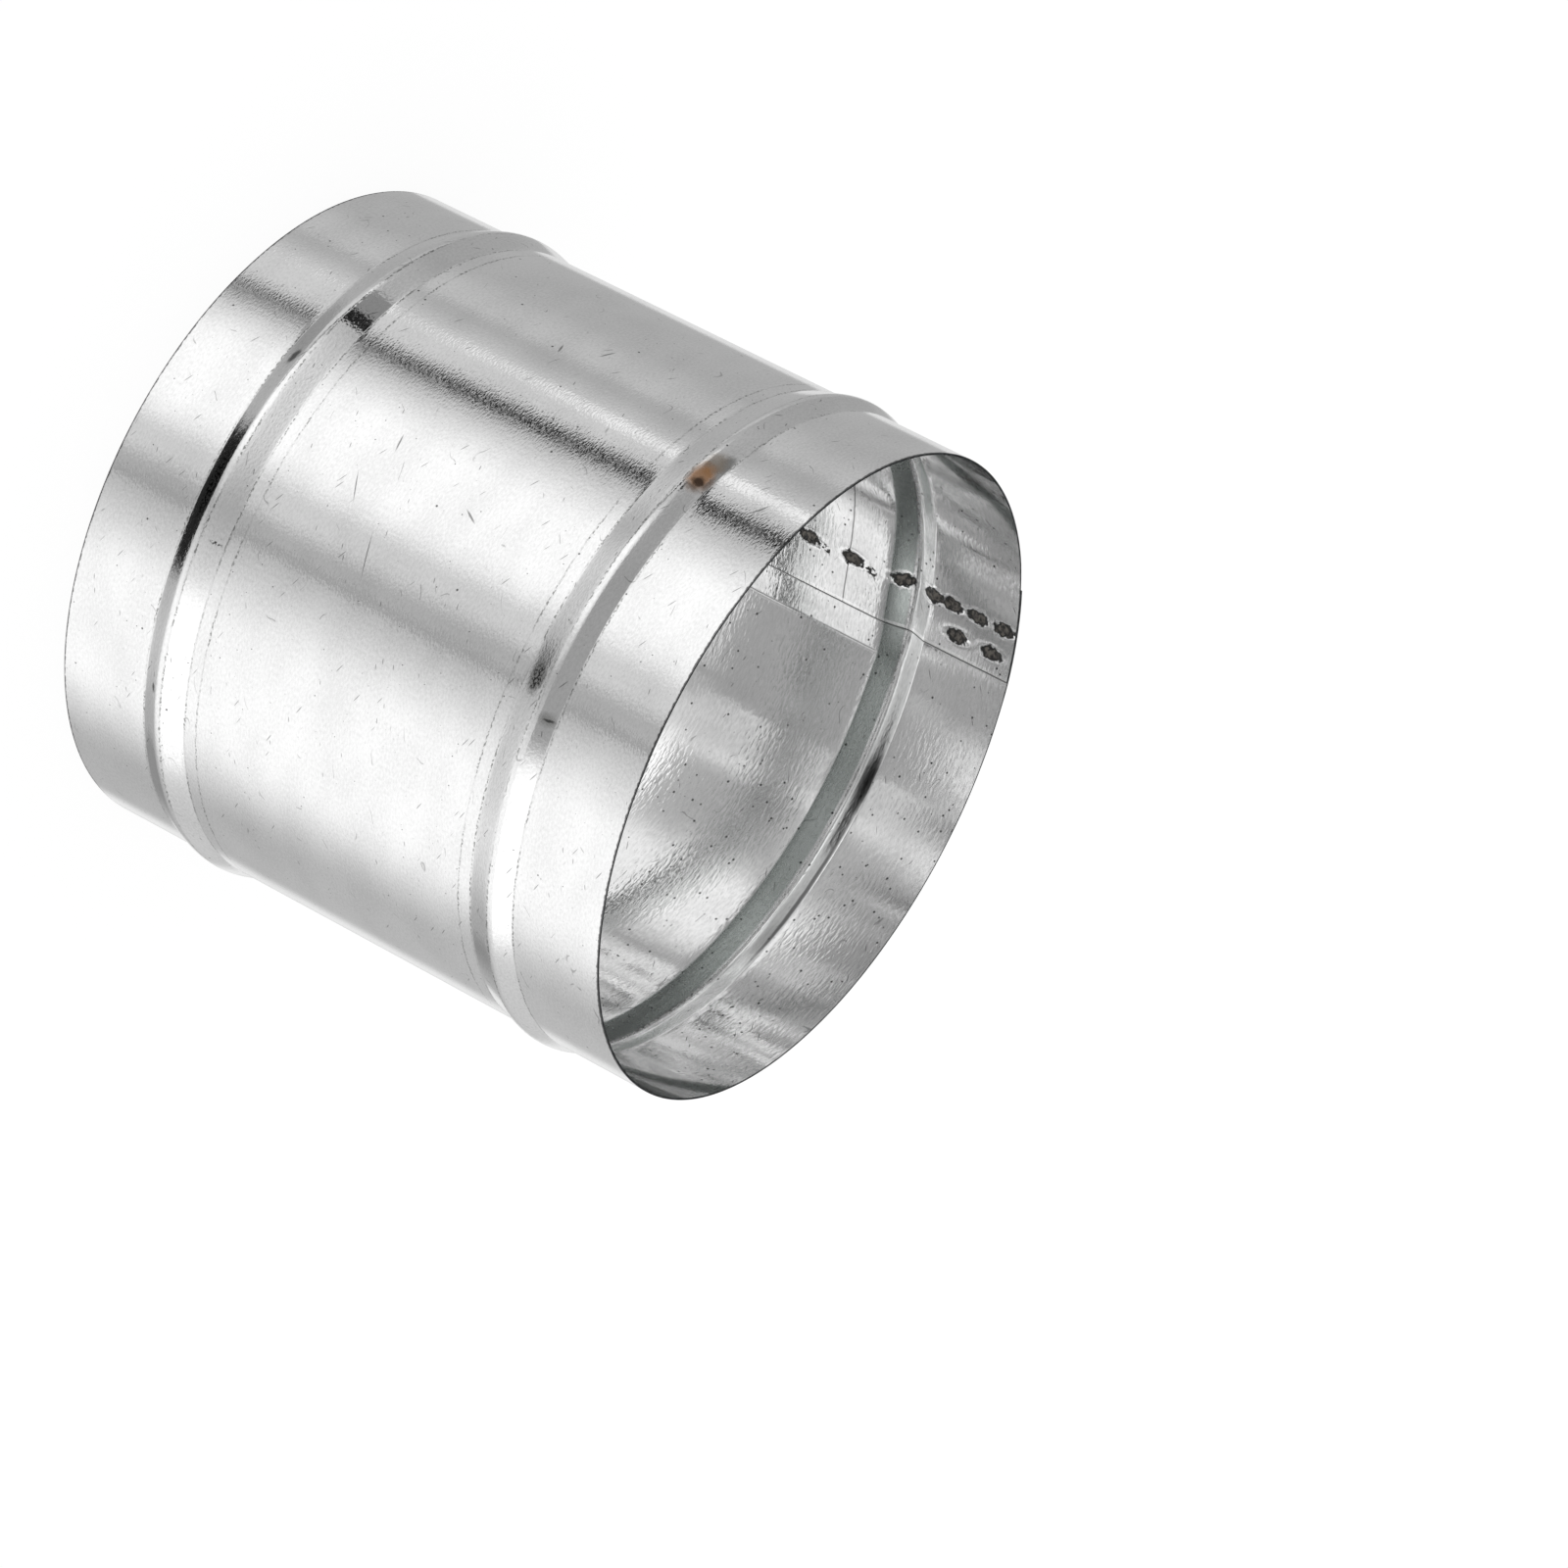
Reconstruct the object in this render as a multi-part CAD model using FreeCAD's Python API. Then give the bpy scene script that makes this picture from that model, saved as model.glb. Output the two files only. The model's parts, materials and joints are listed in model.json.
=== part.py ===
import FreeCAD, Part

import math
import os

# A beaded duct coupling: one strip of galvanised sheet, rolled into a tube,
# lapped and spot-welded along its seam, with a bead rolled near each end.
# It stands on one rim with the tube's axis on +Z. The origin is the centre
# of that rim, and the seam lies on the far side, left of +Y.

# Driving dimensions of the tube, in millimetres
OUTSIDE_DIAMETER = 125.0    # over the plain collars
LENGTH = 120.0              # rim to rim
SHEET = 0.4                 # thickness of the sheet

# The bead at each end, a low ridge rolled outwards
COLLAR_LENGTH = 18.7        # rim to the foot of the bead
COLLAR_FLANK = 4.0          # foot to crest on the collar's side, the steeper one
MIDDLE_FLANK = 5.0          # crest to foot on the middle's side
BEAD_HEIGHT = 1.35          # crest above the collar
CREST_RADIUS = 2.6          # outside, over the crest

# The lapped seam: one end of the sheet steps in, the other steps out
SEAM_AZIMUTH = 130.0        # degrees from +X to the middle of the lap
LAP_WIDTH = 20.0            # how far the two ends overlap
STEP_ARC = 9.0              # length over which an end eases into the lap
TUCK = 0.5                  # how far under the outer edge the inner layer already eases
STEP_FACETS = 3             # strips that an eased stretch is built from

# Spot welds, pressed into the inside of the lap
WELD_LENGTH = 4.3           # along the seam
WELD_WIDTH = 2.5            # across it
WELD_DEPTH = 0.12
PLUG_HEIGHT = 3.0           # of the plug that presses it, which only has to clear the wall
WELD_PITCH = 10.0           # spacing of the regular row
FIRST_WELDS = (2.6, 8.4, 14.0, 18.2, 25.3, 36.1)   # hand-placed, depths below the top rim
TACK_WELDS = (4.3, 11.9)    # a second short row, depths below the top rim
TACK_OFFSET = 5.9           # from the main row towards the inner edge of the sheet
BOTTOM_MARGIN = 3.0         # least distance from a weld's middle to the bottom rim

outside_radius = OUTSIDE_DIAMETER / 2
middle_radius = outside_radius - SHEET / 2
lap_shift = SHEET / 2
bead_width = COLLAR_FLANK + MIDDLE_FLANK

AXIS_POINT = FreeCAD.Vector(0, 0, 0)
UP = FreeCAD.Vector(0, 0, 1)
SEAM_DIRECTION = FreeCAD.Rotation(UP, SEAM_AZIMUTH).multVec(FreeCAD.Vector(1, 0, 0))


def arc_degrees(length):
    """The angle that a length of sheet covers round the tube."""
    return math.degrees(length / middle_radius)


def flank_slope(flank):
    """Slope, in radians, of a flank from its foot to the crest's arc."""
    centre_below = CREST_RADIUS - BEAD_HEIGHT
    reach = math.hypot(flank, centre_below)
    return math.asin(CREST_RADIUS / reach) - math.atan2(centre_below, flank)


def bead_corner():
    """Where the two flanks would meet: distance from the collar's foot, and height."""
    collar_rise = math.tan(flank_slope(COLLAR_FLANK))
    middle_rise = math.tan(flank_slope(MIDDLE_FLANK))
    along = bead_width * middle_rise / (collar_rise + middle_rise)
    return along, along * collar_rise


def sharp_profile():
    """The outside of the tube from the bottom rim up, as (radius, z), corners sharp."""
    along, height = bead_corner()
    rim_to_middle = [
        (0.0, 0.0),
        (0.0, COLLAR_LENGTH),
        (height, COLLAR_LENGTH + along),
        (0.0, COLLAR_LENGTH + bead_width),
    ]
    bottom = [(outside_radius + rise, z) for rise, z in rim_to_middle]
    top = [(outside_radius + rise, LENGTH - z) for rise, z in reversed(rim_to_middle)]
    return bottom + top


def bead_radii(crest_radius):
    """Rounding at the foot, crest and foot of each bead: so slight a fold leaves sharp feet."""
    return [0.0, crest_radius, 0.0] * 2


def direction(start, end):
    step = FreeCAD.Vector(end[0] - start[0], 0, end[1] - start[1])
    return step.normalize()


def inside_profile(points):
    """The sharp profile moved one thickness towards the axis, square to each line."""
    moved = []
    for i, point in enumerate(points):
        before = direction(points[max(i - 1, 0)], points[max(i, 1)])
        after = direction(points[min(i, len(points) - 2)], points[min(i + 1, len(points) - 1)])
        normal_before = FreeCAD.Vector(-before.z, 0, before.x)
        normal_after = FreeCAD.Vector(-after.z, 0, after.x)
        shift = (normal_before + normal_after) * (SHEET / (1 + normal_before.dot(normal_after)))
        moved.append((point[0] + shift.x, point[1] + shift.z))
    return moved


def rounded_edges(points, radii, shift):
    """Lines with tangent arcs at the rounded corners, moved away from the axis by shift."""
    corners = [FreeCAD.Vector(radius + shift, 0, z) for radius, z in points]
    edges = []
    start = corners[0]
    for i, radius in enumerate(radii, 1):
        if radius == 0:
            edges.append(Part.LineSegment(start, corners[i]).toShape())
            start = corners[i]
            continue
        into = (corners[i] - corners[i - 1]).normalize()
        out = (corners[i + 1] - corners[i]).normalize()
        half_turn = into.getAngle(out) / 2
        tangent = radius * math.tan(half_turn)
        arc_start = corners[i] - into * tangent
        arc_end = corners[i] + out * tangent
        towards_centre = (out - into).normalize()
        arc_middle = corners[i] + towards_centre * (radius / math.cos(half_turn) - radius)
        edges.append(Part.LineSegment(start, arc_start).toShape())
        edges.append(Part.Arc(arc_start, arc_middle, arc_end).toShape())
        start = arc_end
    edges.append(Part.LineSegment(start, corners[-1]).toShape())
    return edges


def section_wire(azimuth, shift, extra_thickness=0.0):
    """Closed outline of the wall at one azimuth, moved by shift along the seam's direction."""
    outline = sharp_profile()
    outside = rounded_edges(outline, bead_radii(CREST_RADIUS), 0.0)
    inside_radii = bead_radii(CREST_RADIUS - SHEET)
    inside = rounded_edges(inside_profile(outline), inside_radii, -extra_thickness)
    bottom = Part.LineSegment(inside[0].Vertexes[0].Point, outside[0].Vertexes[0].Point)
    top = Part.LineSegment(outside[-1].Vertexes[-1].Point, inside[-1].Vertexes[-1].Point)
    loop = outside + [top.toShape()] + inside[::-1] + [bottom.toShape()]
    wire = Part.Wire(Part.__sortEdges__(loop))
    wire.rotate(AXIS_POINT, UP, azimuth)
    wire.translate(SEAM_DIRECTION * shift)
    return wire


def round_sector(start, end, shift=0.0, extra_thickness=0.0):
    """The wall rolled from one azimuth to another, about an axis moved towards the seam."""
    face = Part.Face(section_wire(start, shift, extra_thickness))
    return face.revolve(SEAM_DIRECTION * shift, UP, end - start)


def eased_sector(lap_azimuth, plain_azimuth, shift):
    """A single sheet that slides from its place in the lap back to the plain tube."""
    wires = []
    for i in range(STEP_FACETS + 1):
        share = i / STEP_FACETS
        eased = shift * (1 - share * share * (3 - 2 * share))
        azimuth = lap_azimuth + (plain_azimuth - lap_azimuth) * share
        wires.append(section_wire(azimuth, eased))
    return Part.makeLoft(wires, True, True)


def rolled_sheet():
    """The whole strip: two lapped ends, the stretches where they ease in, and the rest."""
    half_lap = arc_degrees(LAP_WIDTH) / 2
    step = arc_degrees(STEP_ARC)
    tuck = arc_degrees(TUCK)
    inner_edge = SEAM_AZIMUTH - half_lap
    outer_edge = SEAM_AZIMUTH + half_lap
    # The outer layer reaches half a sheet into the inner one, so that the weld leaves no gap
    outer_layer = round_sector(inner_edge, outer_edge, lap_shift, SHEET / 2)
    inner_layer = round_sector(inner_edge, outer_edge - tuck, -lap_shift)
    outer_end = eased_sector(inner_edge, inner_edge - step, lap_shift)
    inner_end = eased_sector(outer_edge - tuck, outer_edge + step, -lap_shift)
    plain = round_sector(outer_edge + step, inner_edge - step + 360)
    return plain.multiFuse([inner_end, inner_layer, outer_layer, outer_end])


def bead_rise(z):
    """How far the wall stands out at height z, flanks taken as straight."""
    from_rim = min(z, LENGTH - z)
    collar_side = (from_rim - COLLAR_LENGTH) * math.tan(flank_slope(COLLAR_FLANK))
    middle_side = (COLLAR_LENGTH + bead_width - from_rim) * math.tan(flank_slope(MIDDLE_FLANK))
    return max(0.0, min(collar_side, middle_side, BEAD_HEIGHT))


def weld_outline():
    """One weld's round-ended outline, lying across the X axis with its length along Z."""
    end_radius = WELD_WIDTH / 2
    reach = WELD_LENGTH / 2
    straight = reach - end_radius
    left_low = FreeCAD.Vector(0, -end_radius, -straight)
    left_high = FreeCAD.Vector(0, -end_radius, straight)
    right_high = FreeCAD.Vector(0, end_radius, straight)
    right_low = FreeCAD.Vector(0, end_radius, -straight)
    return Part.Wire([
        Part.LineSegment(left_low, left_high).toShape(),
        Part.Arc(left_high, FreeCAD.Vector(0, 0, reach), right_high).toShape(),
        Part.LineSegment(right_high, right_low).toShape(),
        Part.Arc(right_low, FreeCAD.Vector(0, 0, -reach), left_low).toShape(),
    ])


def weld_tool(z, azimuth):
    """A round-ended plug that presses one weld's flat-bottomed hollow into the lap."""
    half = WELD_LENGTH / 2
    low_rise = bead_rise(z - half)
    high_rise = bead_rise(z + half)
    seat = min(bead_rise(z), (low_rise + high_rise) / 2)
    lean = math.degrees(math.atan2(high_rise - low_rise, WELD_LENGTH))
    plug = Part.Face(weld_outline()).extrude(FreeCAD.Vector(-PLUG_HEIGHT, 0, 0))
    plug.rotate(AXIS_POINT, FreeCAD.Vector(0, 1, 0), lean)
    inside_wall = outside_radius - SHEET - lap_shift
    plug.translate(FreeCAD.Vector(inside_wall + seat + WELD_DEPTH, 0, z))
    plug.rotate(AXIS_POINT, UP, azimuth)
    return plug


def weld_tools():
    """The hand-placed welds, the regular row below them and the short second row."""
    depths = list(FIRST_WELDS)
    while depths[-1] + WELD_PITCH <= LENGTH - BOTTOM_MARGIN:
        depths.append(depths[-1] + WELD_PITCH)
    tack_azimuth = SEAM_AZIMUTH - arc_degrees(TACK_OFFSET)
    tools = [weld_tool(LENGTH - depth, SEAM_AZIMUTH) for depth in depths]
    tools += [weld_tool(LENGTH - depth, tack_azimuth) for depth in TACK_WELDS]
    return tools


def coupling_sleeve():
    return rolled_sheet().cut(weld_tools()).removeSplitter()


def main():
    os.makedirs("parts", exist_ok=True)
    sleeve = coupling_sleeve()
    sleeve.exportStep("parts/coupling_sleeve.step")
    print("solids", len(sleeve.Solids), "valid", sleeve.isValid(),
          "faces", len(sleeve.Faces), "volume", round(sleeve.Volume, 2))
    print("box", sleeve.BoundBox)


main()
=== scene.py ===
import json
import math

import bmesh
import bpy
from mathutils import Matrix, Vector, noise


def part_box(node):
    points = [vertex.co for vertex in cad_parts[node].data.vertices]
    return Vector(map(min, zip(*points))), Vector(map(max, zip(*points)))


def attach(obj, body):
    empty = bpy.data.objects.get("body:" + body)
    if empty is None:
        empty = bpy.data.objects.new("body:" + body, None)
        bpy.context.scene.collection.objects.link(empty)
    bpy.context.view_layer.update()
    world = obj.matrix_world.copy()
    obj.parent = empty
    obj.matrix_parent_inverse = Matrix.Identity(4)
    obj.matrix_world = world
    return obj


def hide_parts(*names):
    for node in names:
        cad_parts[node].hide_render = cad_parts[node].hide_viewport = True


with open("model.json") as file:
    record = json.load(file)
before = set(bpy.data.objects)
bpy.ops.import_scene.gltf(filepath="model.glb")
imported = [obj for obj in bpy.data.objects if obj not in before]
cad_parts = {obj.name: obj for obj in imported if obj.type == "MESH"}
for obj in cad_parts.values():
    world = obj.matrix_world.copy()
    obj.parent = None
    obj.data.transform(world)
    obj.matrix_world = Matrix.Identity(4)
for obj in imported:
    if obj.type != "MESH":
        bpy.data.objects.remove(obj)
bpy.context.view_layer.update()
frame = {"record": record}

# A beaded duct coupling in bright galvanised sheet, standing on one rim.
# Lengths below are in millimetres, angles in degrees, azimuths from +X.
MM = 0.001

mounts = {mount["name"]: mount["dims"] for mount in frame["record"]["mounts"]}
low_corner, high_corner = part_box("coupling_sleeve")
LENGTH = (high_corner.z - low_corner.z) / MM
OUTSIDE_RADIUS = mounts["top_collar"]["r_mm"]
COLLAR_LENGTH = mounts["top_collar"]["length_mm"]
SHEET = OUTSIDE_RADIUS - mounts["tube_bore"]["r_mm"]

# The bead near each end
BEAD_WIDTH = 9.0
COLLAR_SLOPE = 21.0         # of the flank on the collar's side
MIDDLE_SLOPE = 16.3         # of the flank on the middle's side
CREST_RADIUS = 2.6
FOOT_RADIUS = 0.8
FOOT_EASE = 0.04            # rounding off of the inside at each bead's middle foot
FOOT_EASE_REACH = 0.8       # along the tube

# The lapped seam: the inner layer lies half a sheet inside the round, the outer one outside it
SEAM_AZIMUTH = 130.0
LAP_WIDTH = 20.0
LAP_SHIFT = SHEET / 2
STEP_ARC = 9.0              # length over which an end eases into the lap

# Between the beads the lap stays flatter than the round, because two welded layers are stiff
FLAT_MIDDLE = 129.0
FLAT_REACH = 15.8           # from its middle to the crease beside the inner edge
FLAT_RISE = 1.2             # of the crease above the middle
FLAT_DIP = 0.6              # share of that rise by which the middle lies inside the round
CREASE_FALL = 0.6           # length over which the crease falls back, as a share of the reach
FLAT_START = 20.5           # distance from a rim at which the lap begins to flatten
FLAT_EASE = 7.5             # length over which it goes on to its full flatness

# Spot welds, pressed into the inside of the lap
WELD_LENGTH = 4.3           # along the seam
WELD_WIDTH = 2.5
WELD_DEPTH = 0.12
WELD_LIP = 0.05             # height of the metal pushed up round a weld
WELD_PITCH = 10.0           # spacing of the regular row
FIRST_WELDS = (2.6, 8.4, 14.0, 18.2, 25.3, 36.1)    # listed one by one, depths below the top rim
TACK_WELDS = (4.3, 11.9)    # a second short row, depths below the top rim
TACK_OFFSET = 5.9           # from the main row towards the sheet's inner edge
BOTTOM_MARGIN = 3.0         # least distance from a weld's middle to the bottom rim
# Distances from a weld's middle, in half sizes of the weld
HOLLOW_FOOT = 1.15          # where the hollow begins
HOLLOW_WALL = 0.4           # how much further in it reaches its full depth
LIP_CREST = 1.3
LIP_WIDTH = 0.18

# Waves that rolling leaves in thin sheet: height, length round the tube, length along it, start
RIPPLES = ((0.09, 24, 90, 7), (0.022, 11, 45, 3))

# How finely the sheet is divided
ROW_SPACING = 0.9           # along the tube
ARC_SEGMENTS = 6
FOOT_SEGMENTS = 3
LAP_COLUMNS = 60
NEAR_COLUMNS = 24           # on each side of the lap
NEAR_WIDTH = 15.0           # degrees
PLAIN_COLUMNS = 180
EDGE_GAP = 0.02             # degrees, so that the sheet's edge is a face of its own
MERGE_DISTANCE = 0.001
SHARP_ANGLE = 40.0          # an edge that turns by more is drawn sharp
EDGE_FACING = 0.6           # a face that looks outwards or inwards less than this is a cut edge

middle_radius = OUTSIDE_RADIUS - SHEET / 2


def arc_degrees(length):
    """The angle that a length of sheet covers round the tube."""
    return math.degrees(length / middle_radius)


def arc_length(degrees):
    """The length of sheet in an angle round the tube."""
    return degrees * math.radians(1) * middle_radius


def short_way(start, end):
    """The angle from one azimuth to another, from -180 to 180."""
    return (end - start + 180) % 360 - 180


INNER_EDGE = SEAM_AZIMUTH - arc_degrees(LAP_WIDTH) / 2
OUTER_EDGE = SEAM_AZIMUTH + arc_degrees(LAP_WIDTH) / 2


def bead_corner():
    """Where a bead's flanks would meet: distance from the collar's foot, and height."""
    collar_rise = math.tan(math.radians(COLLAR_SLOPE))
    middle_rise = math.tan(math.radians(MIDDLE_SLOPE))
    along = BEAD_WIDTH * middle_rise / (collar_rise + middle_rise)
    return along, along * collar_rise


def wall_radius(z):
    """Outside radius of the wall at one height, corners sharp."""
    from_rim = min(z, LENGTH - z)
    collar_side = (from_rim - COLLAR_LENGTH) * math.tan(math.radians(COLLAR_SLOPE))
    middle_foot = COLLAR_LENGTH + BEAD_WIDTH
    middle_side = (middle_foot - from_rim) * math.tan(math.radians(MIDDLE_SLOPE))
    return OUTSIDE_RADIUS + max(0.0, min(collar_side, middle_side))


def section_points():
    """The outside of the wall from the bottom rim up, with each corner's rounding."""
    along, height = bead_corner()
    bottom = [
        (0.0, 0.0, 0.0),
        (0.0, COLLAR_LENGTH, FOOT_RADIUS),
        (height, COLLAR_LENGTH + along, CREST_RADIUS),
        (0.0, COLLAR_LENGTH + BEAD_WIDTH, FOOT_RADIUS),
    ]
    top = [(rise, LENGTH - z, radius) for rise, z, radius in reversed(bottom)]
    return [(OUTSIDE_RADIUS + rise, z, radius) for rise, z, radius in bottom + top]


def round_corner(bm, corner, radius):
    """Turns one corner of the section into an arc of that radius."""
    before, after = [edge.other_vert(corner).co - corner.co for edge in corner.link_edges]
    half_turn = (math.pi - before.angle(after)) / 2
    segments = ARC_SEGMENTS if radius == CREST_RADIUS else FOOT_SEGMENTS
    bmesh.ops.bevel(
        bm, geom=[corner], offset=radius * MM * math.tan(half_turn), segments=segments,
        profile=0.5, affect="VERTICES", material=-1)


def divide_lines(bm):
    """Splits the section's long straight lines into even rows."""
    for edge in bm.edges[:]:
        cuts = round(edge.calc_length() / (ROW_SPACING * MM)) - 1
        if cuts > 0:
            bmesh.ops.subdivide_edges(bm, edges=[edge], cuts=cuts)


def column_azimuths():
    """Azimuth of each column of the mesh, closer together at the lap."""
    far_side = INNER_EDGE + 360
    bands = [
        (INNER_EDGE + EDGE_GAP, OUTER_EDGE - EDGE_GAP, LAP_COLUMNS),
        (OUTER_EDGE + EDGE_GAP, OUTER_EDGE + NEAR_WIDTH, NEAR_COLUMNS),
        (OUTER_EDGE + NEAR_WIDTH, far_side - NEAR_WIDTH, PLAIN_COLUMNS),
        (far_side - NEAR_WIDTH, far_side - EDGE_GAP, NEAR_COLUMNS),
    ]
    azimuths = []
    for start, end, count in bands:
        azimuths += [start + (end - start) * i / count for i in range(count)]
        if end in (OUTER_EDGE - EDGE_GAP, far_side - EDGE_GAP):
            azimuths.append(end)
    return azimuths


def smooth_share(value):
    """0 below 0 and 1 above 1, with a soft start and end between them."""
    share = max(0.0, min(1.0, value))
    return share * share * (3 - 2 * share)


def eased_shift(distance):
    """How far a sheet stands off the round, easing back from an edge it passes."""
    return LAP_SHIFT * (1 - smooth_share(distance / STEP_ARC))


def lap_shift(azimuth, inside):
    """How far the seam moves the wall outwards at one azimuth."""
    if azimuth < OUTER_EDGE:
        return -LAP_SHIFT if inside else LAP_SHIFT
    from_outer = arc_length(azimuth - OUTER_EDGE)
    from_inner = arc_length(INNER_EDGE + 360 - azimuth)
    return eased_shift(from_inner) - eased_shift(from_outer)


def lap_flatness(azimuth, z):
    """How far the flattened lap moves the wall outwards, with a crease on one side only."""
    reach = arc_length(short_way(FLAT_MIDDLE, azimuth)) / FLAT_REACH
    if reach > 0:
        rise = -FLAT_DIP * (1 - smooth_share(reach))
    elif reach > -1:
        rise = reach * reach - FLAT_DIP
    else:
        rise = (1 - FLAT_DIP) * max(0.0, 1 + (reach + 1) / CREASE_FALL) ** 2
    from_rim = min(z, LENGTH - z)
    return FLAT_RISE * rise * smooth_share((from_rim - FLAT_START) / FLAT_EASE)


def ripple(point):
    """The slight unevenness that rolling leaves in thin sheet, longer along the tube."""
    rise = 0.0
    for height, around, along, start in RIPPLES:
        place = Vector((point.x / around, point.y / around, point.z / along + start))
        rise += height * noise.noise(place)
    return rise


def weld_places():
    """Azimuth and height of every spot weld."""
    depths = list(FIRST_WELDS)
    while depths[-1] + WELD_PITCH <= LENGTH - BOTTOM_MARGIN:
        depths.append(depths[-1] + WELD_PITCH)
    tack_azimuth = SEAM_AZIMUTH - arc_degrees(TACK_OFFSET)
    main_row = [(SEAM_AZIMUTH, LENGTH - depth) for depth in depths]
    return main_row + [(tack_azimuth, LENGTH - depth) for depth in TACK_WELDS]


WELDS = weld_places()


def weld_offset(azimuth, z):
    """Distance from the nearest weld's middle, across and along the seam."""
    offsets = [(arc_length(azimuth - weld_azimuth), z - weld_z) for weld_azimuth, weld_z in WELDS]
    return min(offsets, key=lambda offset: math.hypot(*offset))


def weld_relief(azimuth, z):
    """Depth of the hollow that a spot weld presses into the inside, with its raised lip."""
    across, along = weld_offset(azimuth, z)
    reach = math.hypot(across / (WELD_WIDTH / 2), along / (WELD_LENGTH / 2))
    hollow = WELD_DEPTH * max(0.0, min(1.0, (HOLLOW_FOOT - reach) / HOLLOW_WALL))
    lip = WELD_LIP * math.exp(-((reach - LIP_CREST) / LIP_WIDTH) ** 2)
    return hollow - lip


def foot_ease(z):
    """How much the inside is rounded off at the middle foot of each bead, where it was stretched."""
    from_foot = min(z, LENGTH - z) - COLLAR_LENGTH - BEAD_WIDTH
    return FOOT_EASE * math.exp(-(from_foot / FOOT_EASE_REACH) ** 2)


def unroll(point):
    """Azimuth, counted upwards from the seam's inner edge, and height of a point."""
    azimuth = math.degrees(math.atan2(point.y, point.x))
    return INNER_EDGE + (azimuth - INNER_EDGE) % 360, point.z / MM


def is_inside(point):
    """Whether a point of the plain wall is on its inner face."""
    return math.hypot(point.x, point.y) / MM < wall_radius(point.z / MM) - SHEET / 2


def place_columns(bm, count):
    """Moves each column to its azimuth and gives the wall its lap, welds and unevenness."""
    azimuths = column_azimuths()
    for vert in bm.verts:
        column = round(math.atan2(vert.co.y, vert.co.x) / math.tau * count) % count
        azimuth = azimuths[column]
        inside = is_inside(vert.co)
        z = vert.co.z / MM
        radius = math.hypot(vert.co.x, vert.co.y) / MM
        turn = math.radians(azimuth)
        middle = Vector((math.cos(turn), math.sin(turn), 0)) * middle_radius
        radius += lap_shift(azimuth, inside) + lap_flatness(azimuth, z)
        radius += ripple(middle + Vector((0, 0, z)))
        if inside:
            radius += weld_relief(azimuth, z) + foot_ease(z)
        vert.co = Vector((radius * math.cos(turn), radius * math.sin(turn), z)) * MM


OUTSIDE_FINISH, INSIDE_FINISH, CUT_EDGE = range(3)


def finish_faces(bm):
    """Gives each face its finish and its places on the unrolled sheet."""
    sheet_map = bm.loops.layers.uv.new("sheet")
    weld_map = bm.loops.layers.uv.new("weld")
    for face in bm.faces:
        face.smooth = True
        middle = face.calc_center_median()
        azimuth, z = unroll(middle)
        outward = Vector((middle.x, middle.y, 0)).normalized()
        facing = face.normal.dot(outward)
        if abs(facing) < EDGE_FACING:
            face.material_index = CUT_EDGE
        else:
            face.material_index = OUTSIDE_FINISH if facing > 0 else INSIDE_FINISH
        place = arc_length(azimuth - INNER_EDGE)
        across, along = weld_offset(azimuth, z)
        for loop in face.loops:
            loop_azimuth, loop_z = unroll(loop.vert.co)
            aside = arc_length(short_way(azimuth, loop_azimuth))
            loop[sheet_map].uv = ((place + aside) * MM, loop_z * MM)
            loop[weld_map].uv = ((across + aside) * MM, (along + loop_z - z) * MM)
    for edge in bm.edges:
        edge.smooth = edge.calc_face_angle(0) < math.radians(SHARP_ANGLE)


def build_sleeve():
    """The section, spun round the axis, thickened, lapped and welded."""
    bm = bmesh.new()
    points = section_points()
    corners = [bm.verts.new((radius * MM, 0, z * MM)) for radius, z, rounding in points]
    for start, end in zip(corners, corners[1:]):
        bm.edges.new((start, end))
    for corner, (radius, z, rounding) in zip(corners, points):
        if rounding:
            round_corner(bm, corner, rounding)
    divide_lines(bm)
    count = len(column_azimuths())
    bmesh.ops.spin(
        bm, geom=bm.verts[:] + bm.edges[:], cent=(0, 0, 0), axis=(0, 0, 1),
        angle=math.tau, steps=count, use_merge=True)
    bmesh.ops.remove_doubles(bm, verts=bm.verts, dist=MERGE_DISTANCE * MM)
    bmesh.ops.recalc_face_normals(bm, faces=bm.faces)
    bmesh.ops.solidify(bm, geom=bm.faces[:], thickness=SHEET * MM)
    place_columns(bm, count)
    bm.normal_update()
    finish_faces(bm)
    mesh = bpy.data.meshes.new("coupling_sleeve_sheet")
    bm.to_mesh(mesh)
    bm.free()
    sleeve = bpy.data.objects.new("coupling_sleeve_sheet", mesh)
    bpy.context.scene.collection.objects.link(sleeve)
    return sleeve


def linear(colour):
    """An sRGB hex colour as linear values with full alpha."""
    values = [int(colour[i:i + 2], 16) / 255 for i in (1, 3, 5)]
    return tuple(v / 12.92 if v <= 0.04045 else ((v + 0.055) / 1.055) ** 2.4 for v in values) + (1,)


def add_node(tree, kind, settings=(), links=()):
    """Adds one node, with values for its properties or inputs and sources for its inputs."""
    node = tree.nodes.new(kind)
    for key, value in dict(settings).items():
        if isinstance(key, int) or key in node.inputs:
            node.inputs[key].default_value = value
        else:
            setattr(node, key, value)
    for key, source in dict(links).items():
        tree.links.new(source, node.inputs[key])
    return node


def new_material(name):
    """An empty node material."""
    material = bpy.data.materials.new(name)
    material.use_nodes = True
    material.node_tree.nodes.clear()
    return material


def sheet_place(tree, uv_map, start=(0.0, 0.0)):
    """Places on the unrolled sheet in millimetres, counted from a start of its own."""
    place = add_node(tree, "ShaderNodeUVMap", {"uv_map": uv_map}).outputs["UV"]
    return add_node(
        tree, "ShaderNodeMapping", {"Scale": (1 / MM, 1 / MM, 0), "Location": (*start, 0)},
        {"Vector": place}).outputs[0]


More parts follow.
